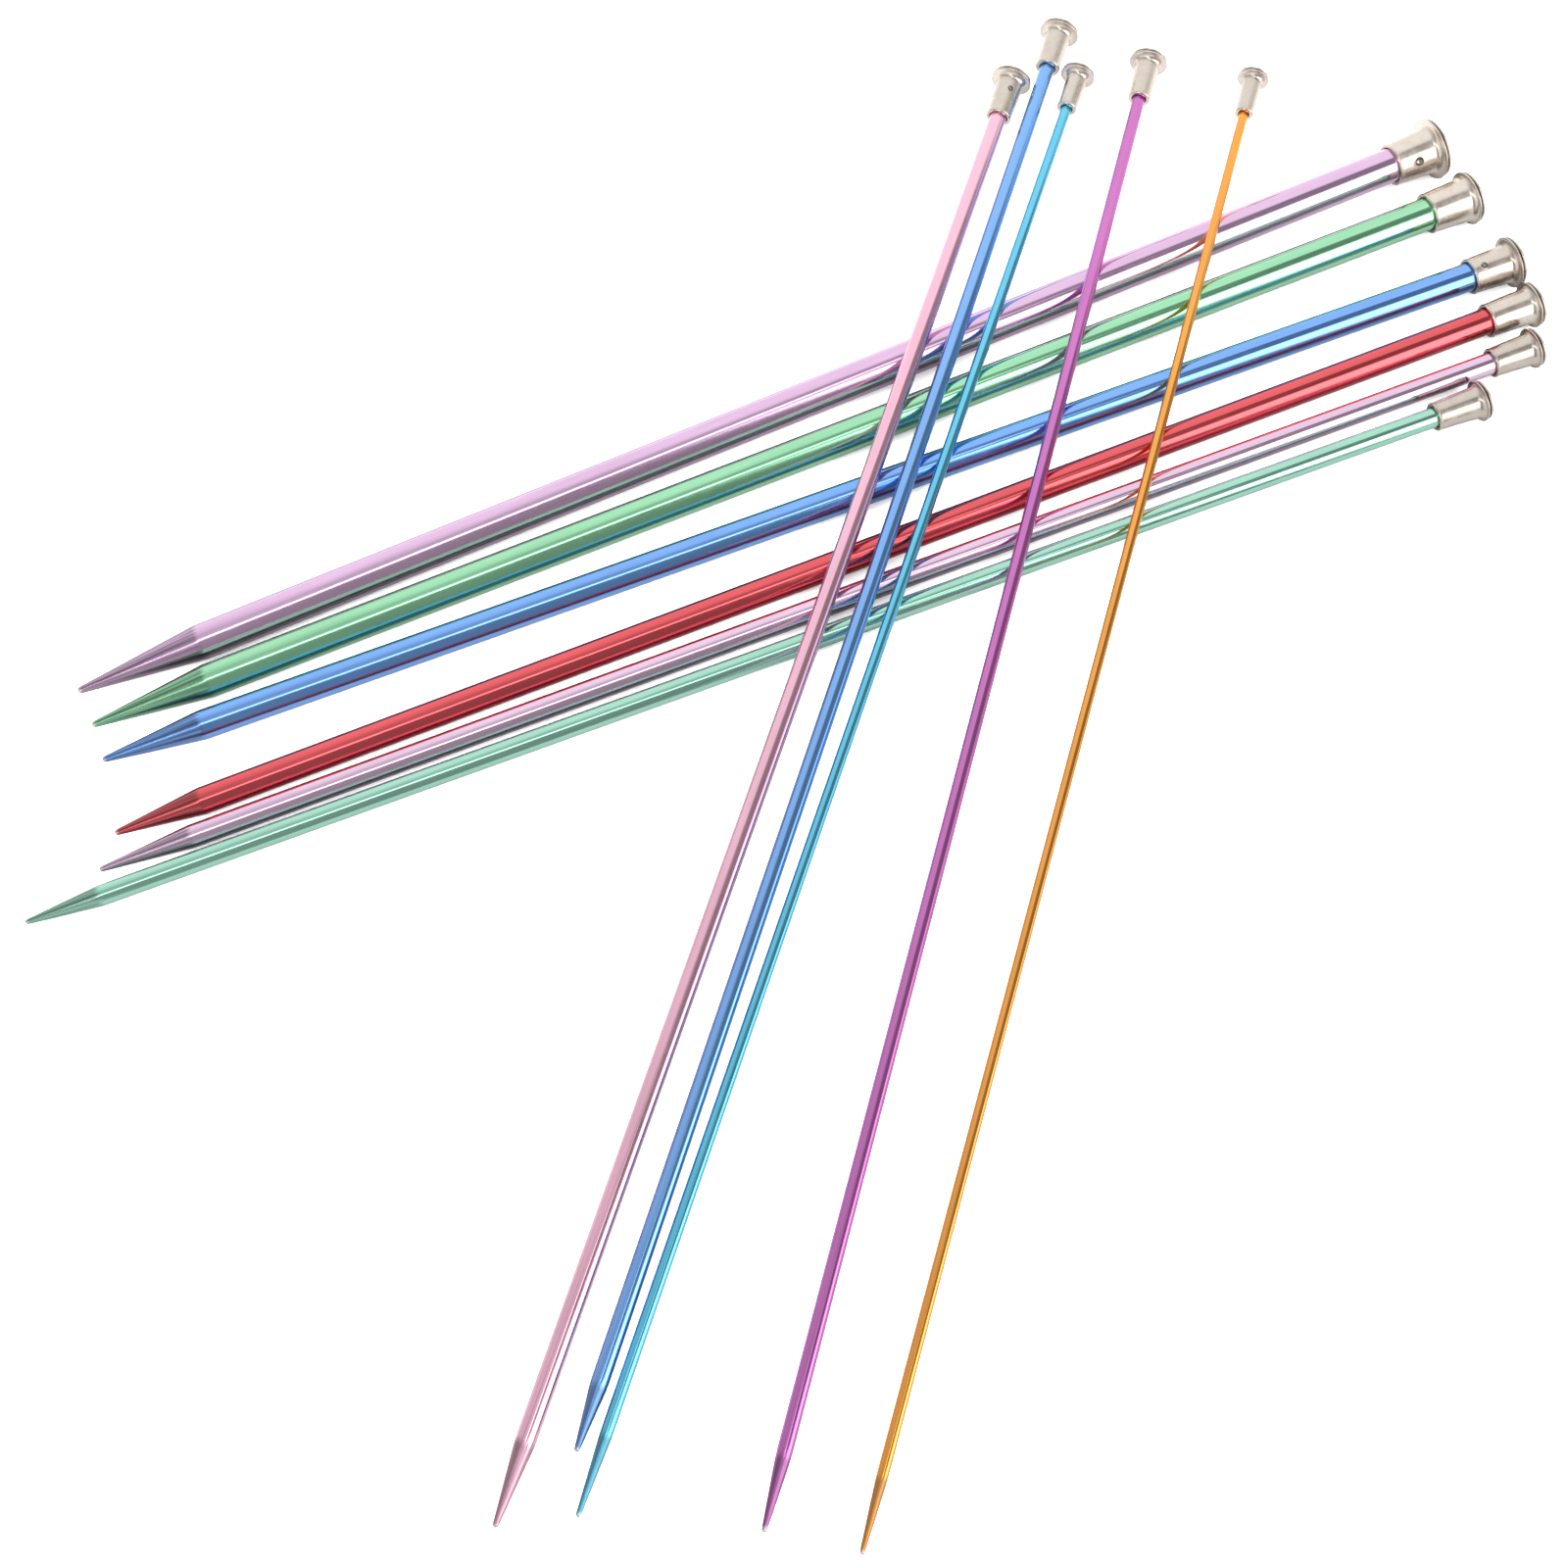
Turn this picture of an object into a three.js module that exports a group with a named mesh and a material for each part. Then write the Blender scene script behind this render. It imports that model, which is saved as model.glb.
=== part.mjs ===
// A set of straight aluminium knitting needles laid out on a table.
// Six thick needles lie side by side, and five thin ones lie across them.
// Every needle has one turned point and one pressed metal cap.
// Units are millimetres, +Z is up, and the table is the plane Z = 0.

import * as THREE from 'three';

// ---- common sizes ----

const LENGTH = 330;
const TUBE_WALL = 0.8;
const HOLLOW_FROM_GAUGE = 4.5;

// clearance between the pieces of one needle, and between crossing needles
const GAP = 0.3;

// point: nose radius grows a little with the gauge
const NOSE_BASE = 0.35;
const NOSE_PER_GAUGE = 0.06;
const SHOULDER_START = 0.93;
const SHOULDER_FILL = 0.955;

// ferrule: a sleeve with a rolled lip that widens a little, then flares into a round rim
const SLEEVE_WALL = 0.35;
const LIP_HEIGHT = 0.65;
const LIP_SWELL = 0.12;
const RIM_WIDTH = 0.8;
const RIM_EDGE = 0.15;

// end disc: a flat button with a plug that enters the flare
const DISC_INSET = 0.25;
const DISC_ROUND = 0.3;
const PLUG_CLEARANCE = 0.35;

// positions along every needle, from its point
const DISC_BOTTOM = LENGTH - 0.65;
const RIM_TOP = DISC_BOTTOM - GAP;
const RIM_BOTTOM = RIM_TOP - 0.5;
const FLARE_LENGTH = 1.4;
const FLARE_START = RIM_BOTTOM - FLARE_LENGTH;
const INNER_FLARE_START = RIM_TOP - 1.9;
const PLUG_BOTTOM = RIM_TOP - 0.3;
const SHAFT_END = PLUG_BOTTOM - GAP;
const RIM_CONTACT = RIM_BOTTOM + RIM_EDGE;

// facets round a thick and a thin needle, always even so that one corner points down
const THICK_SIDES = 20;
const THIN_SIDES = 16;

// ---- the needles ----
// gauge: shaft diameter; cap: cap length; point: length of the turned point
// mouth, throat, flange: ferrule diameters at its lip, where its flare starts, and at its rim
// x, y: where the point lies
// heading: direction from point to cap, in degrees from +X towards +Y

const LOWER = [
  {
    name: 'lilac_80', tint: 0xd9a6dc, gauge: 8.0, cap: 11.7, point: 28,
    mouth: 9.7, throat: 10.8, flange: 14.5,
    x: -152.8, y: 9.2, heading: 14.65,
  },
  {
    name: 'green_75', tint: 0x7fcf9d, gauge: 7.5, cap: 11.5, point: 26,
    mouth: 9.2, throat: 10.1, flange: 12.5,
    x: -149.7, y: 0.7, heading: 13.58,
  },
  {
    name: 'blue_65', tint: 0x4c7fdc, gauge: 6.5, cap: 11.3, point: 22,
    mouth: 8.0, throat: 8.8, flange: 11.9,
    x: -147.6, y: -7.6, heading: 11.73,
  },
  {
    name: 'red_60', tint: 0xc83a48, gauge: 6.0, cap: 12.0, point: 19,
    mouth: 7.5, throat: 8.1, flange: 10.6,
    x: -145.0, y: -24.6, heading: 12.72,
  },
  {
    name: 'lilac_50', tint: 0xd6a8cf, gauge: 5.0, cap: 11.2, point: 20,
    mouth: 6.4, throat: 7.1, flange: 9.2,
    x: -148.4, y: -32.0, heading: 12.13,
  },
  {
    name: 'mint_45', tint: 0x7cc9a8, gauge: 4.5, cap: 12.0, point: 16,
    mouth: 6.2, throat: 7.0, flange: 9.3,
    x: -163.9, y: -40.9, heading: 11.73,
  },
];

const UPPER = [
  {
    name: 'pink_40', tint: 0xe0a0b8, gauge: 4.0, cap: 12.0, point: 15,
    mouth: 5.8, throat: 6.4, flange: 9.6,
    x: -76.3, y: -168.7, heading: 63.05,
  },
  {
    name: 'blue_35', tint: 0x4d86d8, gauge: 3.5, cap: 11.7, point: 12,
    mouth: 5.6, throat: 6.1, flange: 9.4,
    x: -60.5, y: -158.2, heading: 63.46,
  },
  {
    name: 'cyan_25', tint: 0x45b4d6, gauge: 2.5, cap: 11.0, point: 14.5,
    mouth: 4.5, throat: 5.0, flange: 8.2,
    x: -61.4, y: -169.1, heading: 62.89,
  },
  {
    name: 'purple_30', tint: 0xa94aa6, gauge: 3.0, cap: 11.9, point: 13,
    mouth: 5.0, throat: 5.7, flange: 9.0,
    x: -28.5, y: -176.3, heading: 65.98,
  },
  {
    name: 'gold_22', tint: 0xdc9030, gauge: 2.25, cap: 11.5, point: 13,
    mouth: 4.1, throat: 4.6, flange: 7.4,
    x: -11.8, y: -182.3, heading: 64.79,
  },
];

const NICKEL = { color: 0xcfc6bc, roughness: 0.22, metalness: 1.0 };

// ---- profiles, as points of radius and distance from the needle's point ----

const at = (radius, height) => new THREE.Vector2(radius, height);

function shaftProfile(needle) {
  const radius = needle.gauge / 2;
  const nose = NOSE_BASE + NOSE_PER_GAUGE * needle.gauge;
  const profile = [at(0, 0)];
  for (const degrees of [35, 60, 80]) {
    const angle = THREE.MathUtils.degToRad(degrees);
    profile.push(at(nose * Math.sin(angle), nose * (1 - Math.cos(angle))));
  }
  profile.push(at(SHOULDER_FILL * radius, SHOULDER_START * needle.point));
  profile.push(at(radius, needle.point));
  profile.push(at(radius, SHAFT_END));
  if (needle.gauge < HOLLOW_FROM_GAUGE) {
    profile.push(at(0, SHAFT_END));
    return profile;
  }
  // a tube, open at its cap end, whose bore closes inside the point
  profile.push(at(radius - TUBE_WALL, SHAFT_END));
  profile.push(at(radius - TUBE_WALL, needle.point));
  profile.push(at(0, 0.55 * needle.point));
  return profile;
}

function ferruleProfile(needle) {
  const lip = needle.mouth / 2;
  const throat = needle.throat / 2;
  const bore = throat - SLEEVE_WALL;
  const rim = needle.flange / 2;
  const seat = rim - RIM_WIDTH;
  const mouth = LENGTH - needle.cap;
  const profile = [at(lip - SLEEVE_WALL, mouth)];
  profile.push(at(lip, mouth));
  profile.push(at(lip + LIP_SWELL, mouth + 0.3 * LIP_HEIGHT));
  profile.push(at(lip + LIP_SWELL, mouth + 0.7 * LIP_HEIGHT));
  profile.push(at(lip, mouth + LIP_HEIGHT));
  profile.push(at(throat, FLARE_START));
  for (const degrees of [30, 60]) {
    const angle = THREE.MathUtils.degToRad(degrees);
    const spread = 1 - Math.cos(angle);
    const rise = FLARE_LENGTH * Math.sin(angle);
    profile.push(at(throat + (rim - throat) * spread, FLARE_START + rise));
  }
  profile.push(at(rim - RIM_EDGE, RIM_BOTTOM));
  profile.push(at(rim, RIM_CONTACT));
  profile.push(at(rim, RIM_TOP - RIM_EDGE));
  profile.push(at(rim - RIM_EDGE, RIM_TOP));
  profile.push(at(seat, RIM_TOP));
  for (const degrees of [60, 30]) {
    const angle = THREE.MathUtils.degToRad(degrees);
    const spread = 1 - Math.cos(angle);
    const rise = (RIM_TOP - INNER_FLARE_START) * Math.sin(angle);
    profile.push(at(bore + (seat - bore) * spread, INNER_FLARE_START + rise));
  }
  profile.push(at(bore, INNER_FLARE_START));
  profile.push(at(lip - SLEEVE_WALL, mouth));
  return profile;
}

function endDiscProfile(needle) {
  const bore = needle.throat / 2 - SLEEVE_WALL;
  const rim = needle.flange / 2;
  const plug = (bore + rim - RIM_WIDTH) / 2 - PLUG_CLEARANCE;
  const edge = rim - DISC_INSET;
  return [
    at(0, PLUG_BOTTOM),
    at(plug, PLUG_BOTTOM),
    at(plug, DISC_BOTTOM),
    at(edge - 0.5 * DISC_ROUND, DISC_BOTTOM),
    at(edge, DISC_BOTTOM + 0.5 * DISC_ROUND),
    at(edge, LENGTH - DISC_ROUND),
    at(edge - DISC_ROUND, LENGTH),
    at(0, LENGTH),
  ];
}

// ---- one needle, with its point at the group's origin and its cap along +Y ----

function turned(name, profile, sides, material) {
  const mesh = new THREE.Mesh(new THREE.LatheGeometry(profile, sides), material);
  mesh.name = name;
  return mesh;
}

function makeNeedle(needle) {
  const sides = needle.gauge >= 5 ? THICK_SIDES : THIN_SIDES;
  const anodised = new THREE.MeshStandardMaterial({
    color: needle.tint,
    roughness: 0.25,
    metalness: 1.0,
  });
  const plated = new THREE.MeshStandardMaterial(NICKEL);
  const group = new THREE.Group();
  group.add(turned(`shaft_${needle.name}`, shaftProfile(needle), sides, anodised));
  group.add(turned(`ferrule_${needle.name}`, ferruleProfile(needle), sides, plated));
  group.add(turned(`end_disc_${needle.name}`, endDiscProfile(needle), sides, plated));
  return group;
}

// ---- how each needle rests ----

// The shaft's centre line: where it starts, and its unit direction, for a rise angle.
// The shoulder of the point touches the table.
function centreLine(needle, rise) {
  const heading = THREE.MathUtils.degToRad(needle.heading);
  const level = Math.cos(rise);
  const direction = new THREE.Vector3(
    level * Math.cos(heading),
    level * Math.sin(heading),
    Math.sin(rise),
  );
  const height = (needle.gauge / 2) * level - needle.point * Math.sin(rise);
  return { start: new THREE.Vector3(needle.x, needle.y, height), direction };
}

// A lower needle rests on the shoulder of its point and on the rim of its cap.
function riseOnRim(needle) {
  const span = RIM_CONTACT - needle.point;
  return Math.atan((needle.flange - needle.gauge) / 2 / span);
}

function distanceBetween(a, b) {
  const across = new THREE.Vector3().crossVectors(a.direction, b.direction).normalize();
  return Math.abs(across.dot(new THREE.Vector3().subVectors(b.start, a.start)));
}

// An upper needle rests on its shoulder and on the lower needle that lifts it most.
function riseOnNeedles(needle, supports) {
  let rise = 0;
  for (const support of supports) {
    const clear = (needle.gauge + support.gauge) / 2 + GAP;
    let low = 0.01;
    let high = 0.1;
    for (let step = 0; step < 40; step += 1) {
      const middle = (low + high) / 2;
      if (distanceBetween(centreLine(needle, middle), support.line) < clear) {
        low = middle;
      } else {
        high = middle;
      }
    }
    rise = Math.max(rise, high);
  }
  return rise;
}

function lay(group, line) {
  const side = new THREE.Vector3(line.direction.y, -line.direction.x, 0).normalize();
  const up = new THREE.Vector3().crossVectors(side, line.direction);
  group.position.copy(line.start);
  group.setRotationFromMatrix(new THREE.Matrix4().makeBasis(side, line.direction, up));
}

// ---- the set ----

const needles = new THREE.Group();
const supports = [];

for (const needle of LOWER) {
  const line = centreLine(needle, riseOnRim(needle));
  const group = makeNeedle(needle);
  lay(group, line);
  needles.add(group);
  supports.push({ gauge: needle.gauge, line });
}

for (const needle of UPPER) {
  const group = makeNeedle(needle);
  lay(group, centreLine(needle, riseOnNeedles(needle, supports)));
  needles.add(group);
}

// The origin is on the table, under the middle of the set.
const set = new THREE.Group();
set.add(needles);
const box = new THREE.Box3().setFromObject(set, true);
needles.position.set(-(box.min.x + box.max.x) / 2, -(box.min.y + box.max.y) / 2, -box.min.z);

export default set;
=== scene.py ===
import math

import bpy
import numpy as np
from mathutils import Euler, Matrix, Vector


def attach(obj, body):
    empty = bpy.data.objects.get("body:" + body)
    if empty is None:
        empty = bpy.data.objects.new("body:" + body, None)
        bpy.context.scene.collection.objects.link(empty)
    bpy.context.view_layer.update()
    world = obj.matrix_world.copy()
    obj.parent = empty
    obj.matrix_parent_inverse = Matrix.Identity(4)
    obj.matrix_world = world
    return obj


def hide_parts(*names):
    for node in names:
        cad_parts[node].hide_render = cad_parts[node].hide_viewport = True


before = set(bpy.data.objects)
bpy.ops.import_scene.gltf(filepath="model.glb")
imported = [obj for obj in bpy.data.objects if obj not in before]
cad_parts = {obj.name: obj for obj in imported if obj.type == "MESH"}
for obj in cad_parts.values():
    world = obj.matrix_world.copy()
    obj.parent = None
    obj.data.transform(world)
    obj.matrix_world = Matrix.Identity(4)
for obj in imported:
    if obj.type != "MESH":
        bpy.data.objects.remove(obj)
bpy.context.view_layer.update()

# ---- the set's sizes, in millimetres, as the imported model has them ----

MM = 0.001
LENGTH = 330.0
GAP = 0.3
TUBE_WALL = 0.8
HOLLOW_FROM_GAUGE = 4.5
SHAFT_CHAMFER = 0.15
NOSE_BASE = 0.35  # a point's nose has this radius and a little more for each millimetre of gauge
NOSE_PER_GAUGE = 0.06
BORE_ABOVE_SHOULDER = 2.0
BORE_TIP = 0.55  # how far up the point the bore comes to an end, as a part of its length
SLEEVE_WALL = 0.35
LIP_HEIGHT = 0.65
LIP_SWELL = 0.12
LIP_CLEARANCE = 0.12
RIM_WIDTH = 0.8
RIM_EDGE = 0.22
DISC_INSET = 0.25
DISC_ROUND = 0.3
DISC_CHAMFER = 0.1
PLUG_CLEARANCE = 0.35
PRESSED_RING = 0.62  # of the disc's radius
PRESSED_RING_HALF = 0.35
PRESSED_RING_DEPTH = 0.07
DISC_BOTTOM = LENGTH - 0.65
RIM_TOP = DISC_BOTTOM - GAP
RIM_BOTTOM = RIM_TOP - 0.5
FLARE_LENGTH = 1.4
FLARE_START = RIM_BOTTOM - FLARE_LENGTH
INNER_FLARE_START = RIM_TOP - 1.9
PLUG_BOTTOM = RIM_TOP - 0.3
SHAFT_END = PLUG_BOTTOM - GAP

# Each needle: gauge; ferrule diameters at its mouth, where its flare starts and at its rim; cap
# length; length of the point; softness of the point's shoulder; then the punch mark as (degrees
# round the cap, distance from its mouth, radius, depth), the colour that the dyed metal reflects
# and a factor of painted light and shade that makes its cap lighter or darker than the others.
NEEDLES = {
    "lilac_80": dict(gauge=8.0, mouth=9.7, throat=10.8, flange=14.5, cap=11.7, point=28, soft=0.5,
                     punch=(140.8, 4.64, 0.98, 0.46), tint=(0.79, 0.53, 0.78), plate=1.06),
    "green_75": dict(gauge=7.5, mouth=9.2, throat=10.1, flange=12.5, cap=11.5, point=26, soft=0.5,
                     punch=(318.0, 5.1, 0.70, 0.30), tint=(0.36, 0.78, 0.47), plate=1.05),
    "blue_65": dict(gauge=6.5, mouth=8.0, throat=8.8, flange=11.9, cap=11.3, point=22, soft=0.5,
                    punch=(99.9, 2.6, 0.66, 0.34), tint=(0.21, 0.44, 0.94), plate=0.94),
    "red_60": dict(gauge=6.0, mouth=7.5, throat=8.1, flange=10.6, cap=12.0, point=19, soft=0.5,
                   punch=(246.0, 4.4, 0.55, 0.26), tint=(0.80, 0.11, 0.125), plate=1.0),
    "lilac_50": dict(gauge=5.0, mouth=6.4, throat=7.1, flange=9.2, cap=11.2, point=20, soft=0.8,
                     punch=(21.0, 4.0, 0.55, 0.26), tint=(0.82, 0.59, 0.78), plate=0.86),
    "mint_45": dict(gauge=4.5, mouth=6.2, throat=7.0, flange=9.3, cap=12.0, point=16, soft=1.2,
                    punch=(284.0, 4.8, 0.55, 0.26), tint=(0.385, 0.73, 0.58), plate=0.85),
    "pink_40": dict(gauge=4.0, mouth=5.8, throat=6.4, flange=9.6, cap=12.0, point=15, soft=1.5,
                    punch=(109.3, 6.8, 0.60, 0.32), tint=(0.98, 0.55, 0.70), plate=0.95),
    "blue_35": dict(gauge=3.5, mouth=5.6, throat=6.1, flange=9.4, cap=11.7, point=12, soft=1.5,
                    punch=(232.0, 4.6, 0.48, 0.26), tint=(0.23, 0.48, 0.94), plate=0.96),
    "cyan_25": dict(gauge=2.5, mouth=4.5, throat=5.0, flange=8.2, cap=11.0, point=14.5, soft=2.5,
                    punch=(338.0, 5.0, 0.42, 0.24), tint=(0.16, 0.62, 0.85), plate=0.97),
    "purple_30": dict(gauge=3.0, mouth=5.0, throat=5.7, flange=9.0, cap=11.9, point=13, soft=2.5,
                      punch=(262.0, 5.2, 0.42, 0.24), tint=(0.65, 0.20, 0.57), plate=0.97),
    "gold_22": dict(gauge=2.25, mouth=4.1, throat=4.6, flange=7.4, cap=11.5, point=13, soft=2.5,
                    punch=(206.0, 5.6, 0.38, 0.22), tint=(0.95, 0.41, 0.08), plate=0.93),
}

# ---- how finely the visual meshes are cut ----

SHAFT_SIDES = 80
CAP_SIDES = 96
WALL_ROWS = 24
PUNCH_ROWS = 25
PUNCH_REACH = 1.7  # how far round a punch mark the mesh is finer, in the mark's radii
PUNCH_ENDS = 1.6  # how far from its middle the mark moves the wall, in its radii
PUNCH_BURR = 0.035  # millimetres that its edge stands up
SHARP_DEGREES = 40

# ---- camera ----

CAMERA_PLACE = (-0.00702, -0.16780, 0.39708)
CAMERA_DEGREES = (25.265, 3.817, -8.029)

camera_data = bpy.data.cameras.new("camera")
camera_data.sensor_width = 36.0
camera_data.lens = 46.84
camera_data.shift_y = -0.1
camera_data.clip_start = 0.01
camera = bpy.data.objects.new("camera", camera_data)
camera.location = CAMERA_PLACE
camera.rotation_euler = Euler([math.radians(a) for a in CAMERA_DEGREES], "XYZ")
bpy.context.scene.collection.objects.link(camera)
bpy.context.scene.camera = camera


# ---- outlines of the turned pieces, as (radius, height above the needle's point) ----

def arc(centre_r, centre_z, radius, start, end, steps):
    """Points on a circle, from one angle to another, in degrees."""
    angles = np.radians(np.linspace(start, end, steps))
    return [(centre_r + radius * math.cos(a), centre_z + radius * math.sin(a)) for a in angles]


def bezier(a, b, c, steps):
    """Points on the curve that leaves a towards b and arrives at c."""
    a, b, c = (np.array(p, float) for p in (a, b, c))
    ts = np.linspace(0, 1, steps)
    return [tuple((1 - t) ** 2 * a + 2 * t * (1 - t) * b + t ** 2 * c) for t in ts]


def line(a, b, steps):
    """Points after a, up to and including b."""
    a, b = np.array(a, float), np.array(b, float)
    return [tuple(a + (b - a) * k / steps) for k in range(1, steps + 1)]


def trumpet(narrow, wide, low, high, degrees):
    """Points on a quarter ellipse that opens from a narrow radius below to a wide one above."""
    angles = np.radians(degrees)
    return [(narrow + (wide - narrow) * (1 - math.cos(a)), low + (high - low) * math.sin(a))
            for a in angles]


def shaft_profile(n):
    """The point's rounded nose, its cone, the shoulder and the shaft up to its end in the cap."""
    radius = n["gauge"] / 2
    nose = NOSE_BASE + NOSE_PER_GAUGE * n["gauge"]
    point, soft = n["point"], n["soft"]
    # the cone leaves the nose where a line from the shoulder just touches it
    rise = point - nose
    reach = math.hypot(radius, rise)
    touch = math.degrees(math.atan2(rise, radius) - math.acos(nose / reach))
    profile = arc(0, nose, nose, -90, touch, 9)
    profile[0] = (0.0, 0.0)
    last = np.array(profile[-1])
    shoulder = np.array((radius, point))
    along = (shoulder - last) / np.linalg.norm(shoulder - last)
    bend = tuple(shoulder - along * soft)
    profile += line(tuple(last), bend, 8)
    profile += bezier(bend, tuple(shoulder), (radius, point + soft), 7)[1:]
    profile += line((radius, point + soft), (radius, SHAFT_END - SHAFT_CHAMFER), 24)
    profile += [(radius - SHAFT_CHAMFER, SHAFT_END)]
    if n["gauge"] < HOLLOW_FROM_GAUGE:
        return profile + [(0.0, SHAFT_END)]
    bore = radius - TUBE_WALL
    return profile + [(bore, SHAFT_END), (bore, point + BORE_ABOVE_SHOULDER), (0.0, BORE_TIP * point)]


def mouth_height(n):
    return LENGTH - n["cap"]


def sleeve_radius(n, z):
    """Outside of the sleeve, which widens a little from its mouth to its flare."""
    start = mouth_height(n) + LIP_HEIGHT
    along = min(1.0, max(0.0, (z - start) / (FLARE_START - start)))
    return (n["mouth"] + (n["throat"] - n["mouth"]) * along) / 2


def wall_heights(n, low, high):
    """Heights up the sleeve's wall, close together where the punch mark is."""
    _, above_mouth, radius, _ = n["punch"]
    centre = mouth_height(n) + above_mouth
    reach = PUNCH_REACH * radius
    coarse = [z for z in np.linspace(low, high, WALL_ROWS) if abs(z - centre) > reach]
    return sorted(coarse + list(np.linspace(centre - reach, centre + reach, PUNCH_ROWS)))


def lip_profile(n):
    """The mouth's rolled lip, from inside the sleeve round to its outside."""
    mouth = mouth_height(n)
    lip = n["mouth"] / 2
    curl = n["gauge"] / 2 + LIP_CLEARANCE
    inside = [(lip - SLEEVE_WALL, mouth + 0.75), (curl + 0.06, mouth + 0.42), (curl, mouth + 0.26),
              (curl + 0.05, mouth + 0.09), (curl + 0.18, mouth), (lip - 0.08, mouth)]
    outside = [(lip + LIP_SWELL * math.sin(math.pi * t) ** 0.8, mouth + 0.08 + (LIP_HEIGHT - 0.08) * t)
               for t in np.linspace(0, 1, 9)]
    return inside + outside


def ferrule_profile(n):
    """A closed outline: the lip, the sleeve, the flare, the rim, and the same way back inside."""
    throat = n["throat"] / 2
    bore = throat - SLEEVE_WALL
    rim = n["flange"] / 2
    seat = rim - RIM_WIDTH
    profile = lip_profile(n)
    profile += [(sleeve_radius(n, z), z) for z in wall_heights(n, profile[-1][1] + 0.1, FLARE_START)]
    profile += trumpet(throat, rim - RIM_EDGE, FLARE_START, RIM_BOTTOM, range(8, 81, 8))
    profile += arc(rim - RIM_EDGE, RIM_BOTTOM + RIM_EDGE, RIM_EDGE, -75, 84, 11)
    profile += [(rim - 0.4, RIM_TOP), (seat, RIM_TOP), (seat - 0.1, RIM_TOP - 0.08)]
    profile += trumpet(bore, seat - 0.12, INNER_FLARE_START, RIM_TOP - 0.1, range(72, -1, -9))
    wall = wall_heights(n, mouth_height(n) + 0.95, INNER_FLARE_START - 0.1)
    profile += [(sleeve_radius(n, z) - SLEEVE_WALL, z) for z in reversed(wall)]
    return profile


def disc_profile(n):
    """The plug inside the flare, then the button that closes it, with a rounded edge."""
    bore = n["throat"] / 2 - SLEEVE_WALL
    rim = n["flange"] / 2
    plug = (bore + rim - RIM_WIDTH) / 2 - PLUG_CLEARANCE
    edge = rim - DISC_INSET
    profile = [(0.0, PLUG_BOTTOM), (plug - DISC_CHAMFER, PLUG_BOTTOM),
               (plug, PLUG_BOTTOM + DISC_CHAMFER)]
    profile += [(plug, DISC_BOTTOM - 0.03), (plug + 0.05, DISC_BOTTOM), (edge - 0.3, DISC_BOTTOM)]
    profile += arc(edge - DISC_ROUND, DISC_BOTTOM + DISC_ROUND, DISC_ROUND, -75, 0, 6)
    profile += arc(edge - DISC_ROUND, LENGTH - DISC_ROUND, DISC_ROUND, 8, 90, 8)
    # a shallow pressed ring in the end face
    ring, half = PRESSED_RING * edge, PRESSED_RING_HALF
    profile += [(ring + half, LENGTH), (ring + 0.2, LENGTH - 0.03), (ring, LENGTH - PRESSED_RING_DEPTH)]
    profile += [(ring - 0.2, LENGTH - 0.03), (ring - half, LENGTH), (0.0, LENGTH)]
    return profile


# ---- turning an outline into a mesh ----

def lathe(name, profile, angles, place, dent=None):
    """A mesh turned round the Z of a place. The profile ends on the axis, or closes on itself."""
    closed = profile[0][0] > 1e-9
    count = len(angles)
    verts, rings = [], []
    for radius, z in profile:
        if radius < 1e-9:
            rings.append([len(verts)])
            verts.append((0.0, 0.0, z * MM))
            continue
        rings.append(list(range(len(verts), len(verts) + count)))
        for a in angles:
            r = dent(radius, z, a) if dent else radius
            verts.append((r * math.cos(a) * MM, r * math.sin(a) * MM, z * MM))
    faces = []
    pairs = zip(rings, rings[1:] + rings[:1]) if closed else zip(rings, rings[1:])
    for low, high in pairs:
        for i in range(count):
            j = (i + 1) % count
            if len(low) == 1:
                faces.append((low[0], high[j], high[i]))
            elif len(high) == 1:
                faces.append((low[i], low[j], high[0]))
            else:
                faces.append((low[i], low[j], high[j], high[i]))
    mesh = bpy.data.meshes.new(name)
    mesh.from_pydata(verts, [], faces)
    mesh.transform(place)
    mesh.polygons.foreach_set("use_smooth", [True] * len(faces))
    mesh.update()
    mesh.set_sharp_from_angle(angle=math.radians(SHARP_DEGREES))
    piece = bpy.data.objects.new(name, mesh)
    bpy.context.scene.collection.objects.link(piece)
    return piece


def turned_from(a, middle):
    """The angle from a middle to a, between minus and plus half a turn."""
    return (a - middle + math.pi) % (2 * math.pi) - math.pi


def even_angles(count):
    return [2 * math.pi * k / count for k in range(count)]


def angles_round_a_punch(n, count):
    """Even steps, with closer ones where the punch mark is."""
    degrees, _, radius, _ = n["punch"]
    middle = math.radians(degrees)
    reach = PUNCH_REACH * radius / (n["throat"] / 2)
    fine = list(middle + np.linspace(-reach, reach, PUNCH_ROWS))
    coarse = [a for a in even_angles(count) if abs(turned_from(a, middle)) > reach * 1.06]
    return sorted(a % (2 * math.pi) for a in fine + coarse)


def punched(n):
    """How the punch mark moves the sleeve's wall: a bowl with a slightly raised edge."""
    degrees, above_mouth, radius, depth = n["punch"]
    middle = math.radians(degrees)
    centre = mouth_height(n) + above_mouth

    def dent(r, z, a):
        outside = sleeve_radius(n, z)
        away = math.hypot(outside * turned_from(a, middle), z - centre) / radius
        if away > PUNCH_ENDS or abs(r - outside) > SLEEVE_WALL + 0.02:
            return r
        bowl = depth * max(0.0, 1 - away ** 3) ** 1.2
        if r < outside - 0.01:
            # inside, the wall bulges no further than the shaft
            return r - min(bowl, max(0.0, r - n["gauge"] / 2 - 0.03))
        return r - bowl + PUNCH_BURR * math.exp(-((away - 1.1) / 0.2) ** 2)

    return dent


# ---- where each needle lies ----

def middle_of(node):
    corners = np.array([v.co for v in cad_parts[node].data.vertices])
    return np.unique(corners.round(6), axis=0).mean(0)


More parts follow.
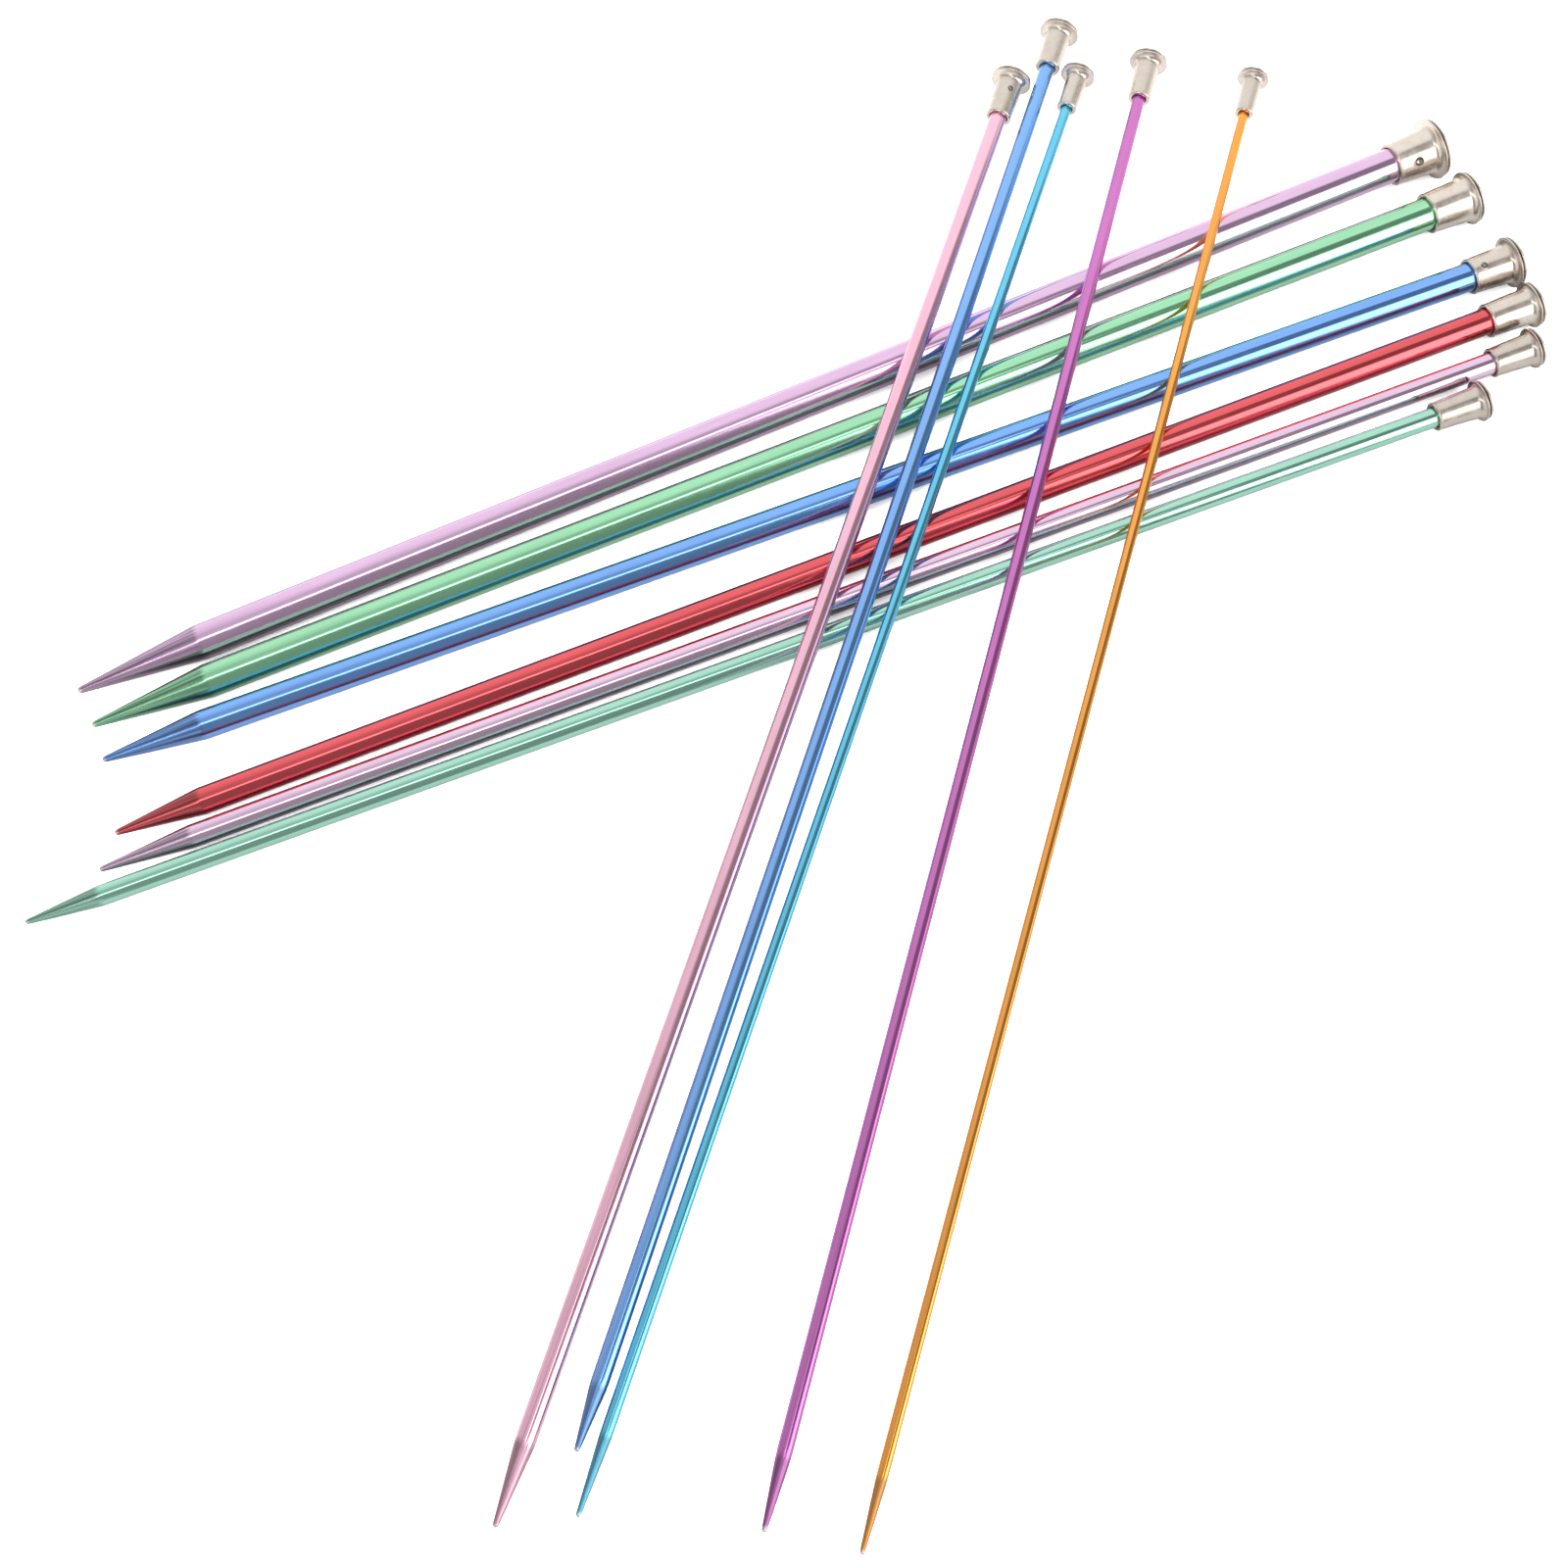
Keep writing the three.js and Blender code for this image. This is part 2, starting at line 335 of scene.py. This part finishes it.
def needle_place(name):
    """The frame with its origin at the needle's point, Z towards its cap and Y upwards."""
    cap = middle_of(f"ferrule_{name}")
    shaft = np.array([v.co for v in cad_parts[f"shaft_{name}"].data.vertices])
    tip = shaft[np.argmax(np.linalg.norm(shaft - cap, axis=1))]
    z = Vector(cap - tip).normalized()
    x = Vector((0, 0, 1)).cross(z).normalized()
    y = z.cross(x)
    place = Matrix((x, y, z)).transposed().to_4x4()
    place.translation = Vector(tip)
    return place


# ---- materials ----

class Nodes:
    """A short way to add and link nodes in one tree."""

    def __init__(self, tree):
        self.tree = tree

    def add(self, kind, inputs=None, **settings):
        node = self.tree.nodes.new(kind)
        for key, value in settings.items():
            setattr(node, key, value)
        for key, value in (inputs or {}).items():
            self.feed(node.inputs[key], value)
        return node

    def feed(self, socket, value):
        """Link a socket to another one, or set it to a plain value."""
        if isinstance(value, bpy.types.NodeSocket):
            self.tree.links.new(value, socket)
        else:
            socket.default_value = value

    def math(self, operation, a, b=0.0, clamp=False):
        return self.add("ShaderNodeMath", {0: a, 1: b}, operation=operation,
                        use_clamp=clamp).outputs[0]

    def plus(self, a, b):
        return self.math("ADD", a, b)

    def minus(self, a, b):
        return self.math("SUBTRACT", a, b)

    def times(self, a, b):
        return self.math("MULTIPLY", a, b)

    def distance_from(self, value, centre):
        return self.math("ABSOLUTE", self.minus(value, centre))

    def apart(self, vector):
        """The X, Y and Z of a vector."""
        return self.add("ShaderNodeSeparateXYZ", {0: vector}).outputs

    def millimetres(self, place):
        """Where a point is in its needle's own frame, in millimetres from the needle's point."""
        turn = place.to_3x3().transposed()
        return self.add("ShaderNodeMapping", {
            "Vector": self.add("ShaderNodeTexCoord").outputs["Object"],
            "Scale": (1000, 1000, 1000),
            "Rotation": turn.to_euler(),
            "Location": -(turn @ place.translation) * 1000,
        }).outputs[0]

    def noise(self, vector, stretch, detail=3.0, roughness=0.55, offset=0.0):
        """Noise whose grain is stretched: each number is grains per millimetre along an axis."""
        scaled = self.add("ShaderNodeMapping", {"Vector": vector, "Scale": stretch,
                                                "Location": (offset, offset, offset)})
        return self.add("ShaderNodeTexNoise", {"Vector": scaled.outputs[0], "Scale": 1.0,
                                               "Detail": detail,
                                               "Roughness": roughness}).outputs["Fac"]

    def between(self, value, low, high, to_low=0.0, to_high=1.0):
        """Change evenly from to_low to to_high while the value goes from low to high."""
        return self.add("ShaderNodeMapRange", {"Value": value, "From Min": low, "From Max": high,
                                               "To Min": to_low, "To Max": to_high}).outputs[0]

    def mix(self, factor, a, b):
        """A colour between a and b."""
        node = self.add("ShaderNodeMix", data_type="RGBA")
        for key, value in (("Factor", factor), ("A", a), ("B", b)):
            self.feed([s for s in node.inputs if s.name == key and s.enabled][0], value)
        return [s for s in node.outputs if s.enabled][0]

    def blend(self, factor, a, b):
        """A number between a and b."""
        return self.add("ShaderNodeMix", {"Factor": factor, 2: a, 3: b}, data_type="FLOAT").outputs[0]

    def bump(self, height, metres):
        return self.add("ShaderNodeBump", {"Height": height, "Strength": 0.5,
                                           "Distance": metres}).outputs[0]


class Material(Nodes):
    """Nodes in a new material, round its Principled shader."""

    def __init__(self, name):
        self.material = bpy.data.materials.new(name)
        self.material.use_nodes = True
        super().__init__(self.material.node_tree)
        self.shader = self.tree.nodes["Principled BSDF"]

    def set(self, **values):
        """Feed the shader's sockets, named with _ for each space."""
        for key, value in values.items():
            self.feed(self.shader.inputs[key.replace("_", " ")], value)


def shade(colour, times, plus=0.0):
    return tuple(c * times + plus for c in colour) + (1.0,)


BARE_TIP = (0.86, 0.85, 0.84, 1.0)
SCUFFED = (0.82, 0.80, 0.80, 1.0)
TIP_RUB = (1.0, 1.9)  # the dye is mostly rubbed off below the first height, and whole above the second
# how much a ground point's colour is darkened as painted shade, and how much rougher it is than the
# shaft
THICK_POINT_SHADE_AND_SATIN = (1.0, 0.10)
THIN_POINT_SHADE_AND_SATIN = (0.95, 0.22)


def anodised(name, n, place, seed):
    """Drawn aluminium, dyed and sealed, with fine lines that close in towards the ground point."""
    m = Material(f"anodised_{name}")
    here = m.millimetres(place)
    x, y, along = m.apart(here)
    angle = m.math("ARCTAN2", y, x)
    round_it = m.add("ShaderNodeCombineXYZ", {
        "X": m.math("COSINE", angle), "Y": m.math("SINE", angle), "Z": along}).outputs[0]
    drawn = m.noise(here, (9.0, 9.0, 0.03), detail=4.0, offset=seed)
    streaks = m.noise(round_it, (6.5, 6.5, 0.035), detail=4.0, roughness=0.6, offset=seed + 5)
    cloudy = m.noise(here, (0.35, 0.35, 0.05), detail=2.0, offset=seed + 9)
    smudge = m.noise(here, (0.9, 0.9, 0.35), detail=5.0, roughness=0.65, offset=seed + 13)
    speck = m.noise(here, (4.5, 4.5, 3.0), detail=2.0, offset=seed + 21)
    # the grinding ends in an uneven line round the shoulder
    ground_to = m.plus(along, m.times(streaks, 2.4))
    on_point = m.between(ground_to, n["point"] + 0.6, n["point"] + 1.9, 1.0, 0.0)

    # dye: a little uneven along the drawn lines, darker and streaked on the point, partly its ground
    # finish and partly painted shade, thin at the tip
    uneven = m.plus(m.times(drawn, 0.45), m.times(cloudy, 0.55))
    dye = m.mix(m.between(uneven, 0.36, 0.64), shade(n["tint"], 0.92), shade(n["tint"], 1.04))
    # painted shade: the thin needles' points are painted a little darker than the thick ones'
    depth, satin = THIN_POINT_SHADE_AND_SATIN if n["gauge"] < HOLLOW_FROM_GAUGE else THICK_POINT_SHADE_AND_SATIN
    point_dye_and_shade = [depth * c ** 1.05 for c in n["tint"]]
    ground = m.mix(m.between(streaks, 0.38, 0.62), shade(point_dye_and_shade, 0.34, 0.02), shade(point_dye_and_shade, 0.74, 0.02))
    dye = m.mix(on_point, dye, ground)
    rubbed = m.between(m.plus(along, m.times(smudge, 1.6)), *TIP_RUB, 0.6, 0.0)
    dye = m.mix(rubbed, dye, BARE_TIP)
    scuff = m.between(speck, 0.74, 0.80, 0.0, 0.4)
    dye = m.mix(scuff, dye, SCUFFED)

    gloss = m.between(smudge, 0.35, 0.75, 0.10, 0.17)
    gloss = m.plus(gloss, m.times(on_point, satin))
    gloss = m.plus(gloss, m.times(scuff, 0.2))

    plain = m.minus(1.0, on_point)
    grain = m.times(drawn, m.times(plain, 0.5))
    grain = m.plus(grain, m.times(streaks, m.times(on_point, 4.0)))
    m.set(Base_Color=dye, Roughness=gloss, Normal=m.bump(grain, 0.000012), Metallic=1.0,
          Coat_Weight=0.4, Coat_Roughness=0.04, Coat_IOR=1.55)
    return m.material


NICKEL_DULL = (0.71, 0.625, 0.55)
NICKEL_BRIGHT = (0.78, 0.70, 0.62)
GROOVE_SHADE = (0.20, 0.17, 0.15, 1.0)
PUNCH_SHADE = (0.24, 0.21, 0.19, 1.0)
PUNCH_RIM_SHADE = (0.16, 0.14, 0.13, 1.0)
PITTED = (0.30, 0.26, 0.23, 1.0)


def nickel(name, n, place, seed):
    """Bright, slightly warm nickel plate over a pressing: rings, drag marks and a few pits."""
    m = Material(f"nickel_{name}")
    here = m.millimetres(place)
    along = m.apart(here)["Z"]
    spun = m.noise(here, (0.2, 0.2, 8.0), offset=seed)
    drag = m.noise(here, (5.0, 5.0, 0.5), offset=seed + 3)
    cloudy = m.noise(here, (0.5, 0.5, 0.5), offset=seed + 7)
    pits = m.noise(here, (3.6, 3.6, 3.6), detail=2.0, offset=seed + 11)

    # painted light and shade: each needle's plate factor paints its cap lighter or darker than the
    # others
    metal = m.mix(m.between(cloudy, 0.35, 0.65), shade(NICKEL_DULL, n["plate"]),
                  shade(NICKEL_BRIGHT, n["plate"]))
    # painted shade: the groove between the rim and the end disc is painted dark
    groove = m.distance_from(along, (RIM_TOP + DISC_BOTTOM) / 2)
    metal = m.mix(m.between(groove, 0.12, 0.30, 0.75, 0.0), metal, GROOVE_SHADE)
    # painted shade: the punch mark is painted darker, with a darker ring painted round its edge
    degrees, above_mouth, radius, _ = n["punch"]
    middle = math.radians(degrees)
    height = mouth_height(n) + above_mouth
    outside = sleeve_radius(n, height)
    mark = (outside * math.cos(middle), outside * math.sin(middle), height)
    away = m.add("ShaderNodeVectorMath", {0: here, 1: mark}, operation="DISTANCE").outputs["Value"]
    metal = m.mix(m.between(away, 0.75 * radius, radius, 0.45, 0.0), metal, PUNCH_SHADE)
    edge = m.distance_from(away, 0.88 * radius)
    metal = m.mix(m.between(edge, 0.14 * radius, 0.38 * radius, 0.9, 0.0), metal, PUNCH_RIM_SHADE)
    pitted = m.between(pits, 0.73, 0.79, 0.0, 0.5)
    metal = m.mix(pitted, metal, PITTED)

    gloss = m.between(cloudy, 0.3, 0.7, 0.21, 0.29)
    gloss = m.plus(gloss, m.times(pitted, 0.2))

    relief = m.plus(m.times(spun, 0.5), m.times(drag, 0.5))
    relief = m.minus(relief, m.times(pitted, 0.8))
    m.set(Base_Color=metal, Roughness=gloss, Normal=m.bump(relief, 0.000006), Metallic=1.0)
    return m.material


TABLE_WHITE = (0.95, 0.95, 0.95, 1.0)
TENT_GREY = (0.17, 0.17, 0.17, 1.0)
BACK_GREY = (0.27, 0.27, 0.27, 1.0)
TENT_ENDS = (0.095, 0.115)  # metres towards the back of the table


def paper():
    """White to look at, and a mid grey where the metal mirrors it, as under a narrow light tent.
    The tent ends behind the row, so the rims of the thin needles mirror a lighter table."""
    m = Material("paper")
    mirrored = m.add("ShaderNodeLightPath").outputs["Is Glossy Ray"]
    depth = m.apart(m.add("ShaderNodeTexCoord").outputs["Object"])["Y"]
    grey = m.mix(m.between(depth, *TENT_ENDS), TENT_GREY, BACK_GREY)
    m.set(Base_Color=m.mix(mirrored, TABLE_WHITE, grey), Roughness=0.8)
    return m.material


# ---- the needles ----

def stand_for(piece, node, name, material):
    piece.data.materials.append(material)
    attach(piece, f"needle_{name}")
    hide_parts(node)


for number, (name, n) in enumerate(NEEDLES.items()):
    place = needle_place(name)
    plate = nickel(name, n, place, 2.3 * number)
    dyed = anodised(name, n, place, 3.1 * number)
    shaft = lathe(f"visual_shaft_{name}", shaft_profile(n), even_angles(SHAFT_SIDES), place)
    stand_for(shaft, f"shaft_{name}", name, dyed)
    cap_angles = angles_round_a_punch(n, CAP_SIDES)
    ferrule = lathe(f"visual_ferrule_{name}", ferrule_profile(n), cap_angles, place, punched(n))
    stand_for(ferrule, f"ferrule_{name}", name, plate)
    disc = lathe(f"visual_end_disc_{name}", disc_profile(n), even_angles(CAP_SIDES), place)
    stand_for(disc, f"end_disc_{name}", name, plate)

# ---- the table ----

TABLE_HALF = 12.0
TABLE_TOP = -0.00002  # just under the needles, so that nothing lies in its plane
CORNERS = ((-1, -1), (1, -1), (1, 1), (-1, 1))
table_mesh = bpy.data.meshes.new("table")
table_mesh.from_pydata([(x * TABLE_HALF, y * TABLE_HALF, 0) for x, y in CORNERS], [], [(0, 1, 2, 3)])
table = bpy.data.objects.new("table", table_mesh)
table.location.z = TABLE_TOP
bpy.context.scene.collection.objects.link(table)
table_mesh.materials.append(paper())

# ---- the light tent, painted on the world by direction: X right, Y back and Z up ----

LAMP_LEVEL = 2.9
WALL_LEVEL = 1.0
BACKDROP_LEVEL = 0.97


class Sky(Nodes):
    """Nodes in the world, with the direction that a ray looks in."""

    def __init__(self, world):
        super().__init__(world.node_tree)
        self.ray = self.add("ShaderNodeTexCoord").outputs["Generated"]
        self.x, self.y, self.z = self.apart(self.ray)
        self.near = self.times(self.y, -1.0)

    def towards(self, *vector):
        """How far the ray looks towards a direction: 1 straight at it, 0 square to it."""
        return self.add("ShaderNodeVectorMath", {0: self.ray, 1: Vector(vector).normalized()},
                        operation="DOT_PRODUCT").outputs["Value"]

    def room(self):
        """The tent's cloth and wall, and the dim room that its open front shows."""
        # the cloth is bright behind and dims towards the camera's left
        cloth = self.between(self.towards(-0.50, -0.86, 0.0), -0.45, 0.35, 1.08, 0.45)
        # the open front starts just behind the top of the set, and is dim, most at the right
        front = self.towards(0.087, -0.970, 0.227)
        dim = self.between(self.x, -0.20, 0.40, 0.42, 0.28)
        haze = self.times(self.between(self.z, 0.92, 0.97), self.between(self.x, 0.0, 0.3, 0.28, 0.0))
        room = self.blend(self.between(front, -0.02, 0.03), cloth, self.plus(dim, haze))
        # low at the left a white wall closes the tent
        wall = self.between(self.towards(-0.75, -0.66, 0.0), 0.68, 0.80)
        return self.blend(wall, room, WALL_LEVEL)

    def tube(self):
        """A thin tube lamp overhead."""
        across = self.distance_from(self.plus(self.near, self.times(self.x, 0.55)), 0.28)
        tube = self.times(self.between(across, 0.070, 0.100, 1.0, 0.0),
                          self.between(self.x, 0.14, 0.32, 1.0, 0.0))
        return self.times(tube, self.math("GREATER_THAN", self.z, 0.5))

    def window(self):
        """A broad window at the camera's right, down to the table."""
        edge = self.between(self.z, 0.30, 0.60, 0.0, 0.32)
        inside = self.math("DIVIDE", self.minus(self.near, edge), self.minus(0.40, edge), clamp=True)
        right = self.towards(0.97, 0.24, 0.0)
        sill = self.plus(self.times(self.minus(right, 0.12), 3.0), self.z)
        return self.times(inside, self.between(sill, 0.78, 0.98))


world = bpy.data.worlds.new("studio")
bpy.context.scene.world = world
world.use_nodes = True
sky = Sky(world)
lamps = sky.math("MAXIMUM", sky.tube(), sky.window())
tent = sky.blend(lamps, sky.room(), LAMP_LEVEL)
# beyond the table the camera sees a plain pale wall
seen = sky.add("ShaderNodeLightPath").outputs["Is Camera Ray"]
background = sky.tree.nodes["Background"]
sky.feed(background.inputs["Color"], sky.blend(seen, tent, BACKDROP_LEVEL))
background.inputs["Strength"].default_value = 1.0

# an even lamp above keeps the table white, and is hidden from the metal, which mirrors the tent
OVERHEAD_SIZE = 2.2
OVERHEAD_HEIGHT = 1.2
OVERHEAD_LEVEL = 8.0
data = bpy.data.lights.new("overhead", "AREA")
data.shape = "SQUARE"
data.size = OVERHEAD_SIZE
data.energy = OVERHEAD_LEVEL * math.pi * OVERHEAD_SIZE ** 2
overhead = bpy.data.objects.new("overhead", data)
overhead.location.z = OVERHEAD_HEIGHT
overhead.visible_glossy = False
bpy.context.scene.collection.objects.link(overhead)

bpy.context.scene.view_settings.view_transform = "Standard"
